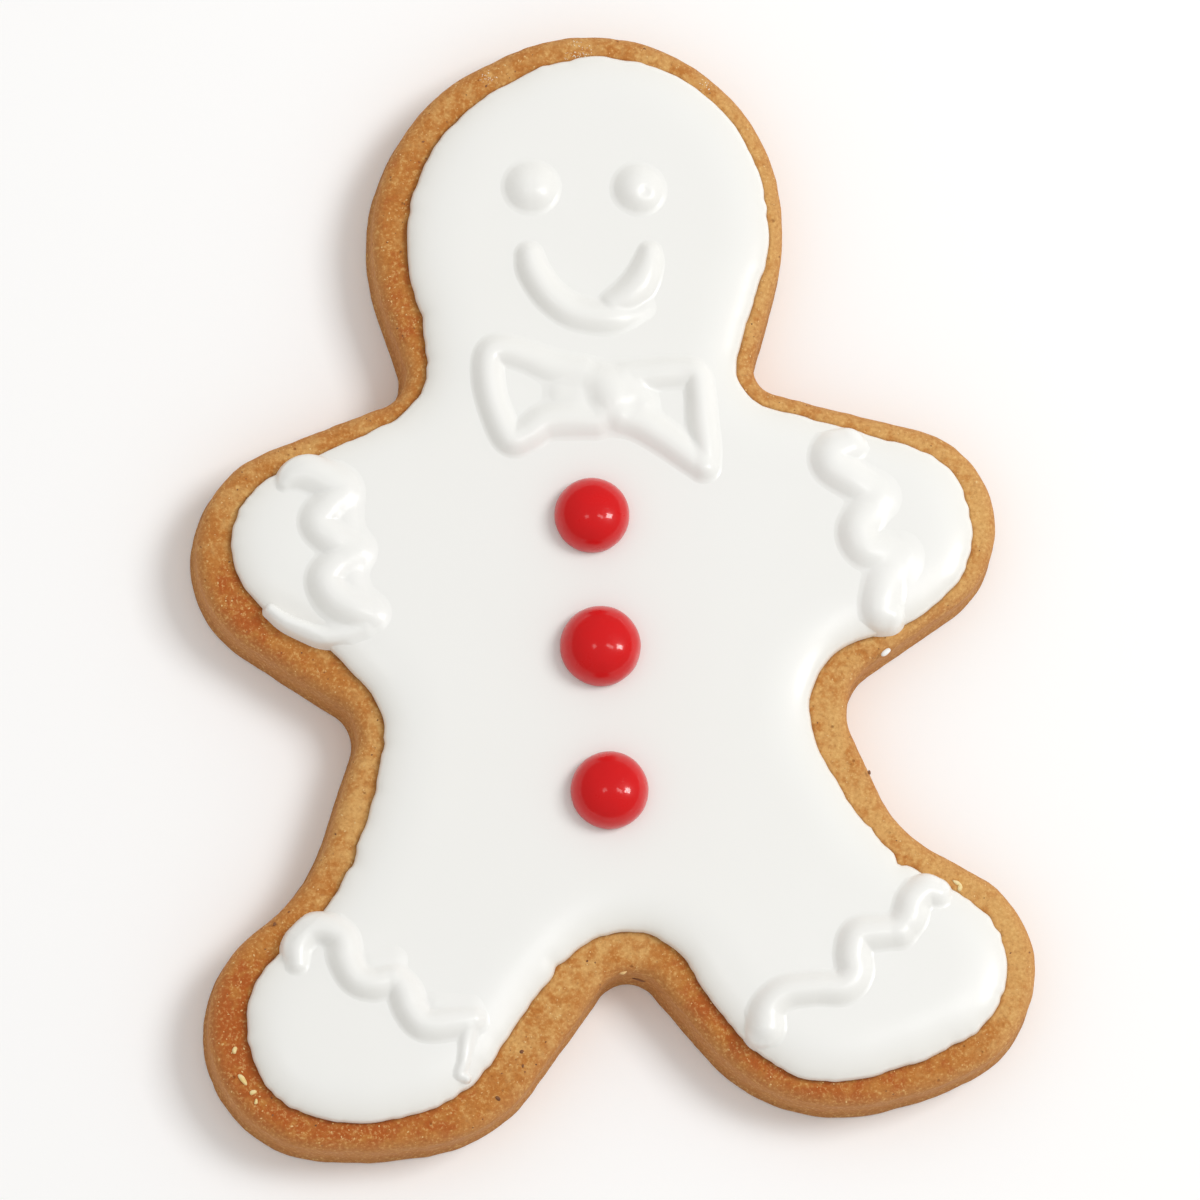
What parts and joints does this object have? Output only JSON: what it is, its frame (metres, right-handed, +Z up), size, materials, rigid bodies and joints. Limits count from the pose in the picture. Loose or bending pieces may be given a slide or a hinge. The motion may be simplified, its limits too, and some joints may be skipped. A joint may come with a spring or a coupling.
{
  "type": "iced gingerbread man cookie",
  "caption": "Flat gingerbread figure biscuit under poured white icing, with a piped face, bow tie and zigzag cuffs, and round sugar drops down its front.",
  "frame": {"origin": "on the surface that the biscuit rests on, under the middle of its outline", "axes": "+Y towards the head, +Z up out of the decorated side, +X towards the arm that is on the right when seen from above"},
  "size_m": [0.0782, 0.1064, 0.0125],
  "materials": {
    "biscuit": "baked gingerbread, golden brown, matt and finely pitted",
    "icing": "set white icing with a soft gloss",
    "sugar_drop": "hard red sugar shell, polished"
  },
  "bodies": {
    "root": {"biscuit": "biscuit", "icing": "icing", "eye_left": "icing", "eye_right": "icing", "mouth": "icing", "bow_tie": "icing", "cuff_left_arm": "icing", "cuff_right_arm": "icing", "cuff_left_foot": "icing", "cuff_right_foot": "icing", "button_top": "sugar_drop", "button_middle": "sugar_drop", "button_bottom": "sugar_drop"}
  },
  "joints": []
}
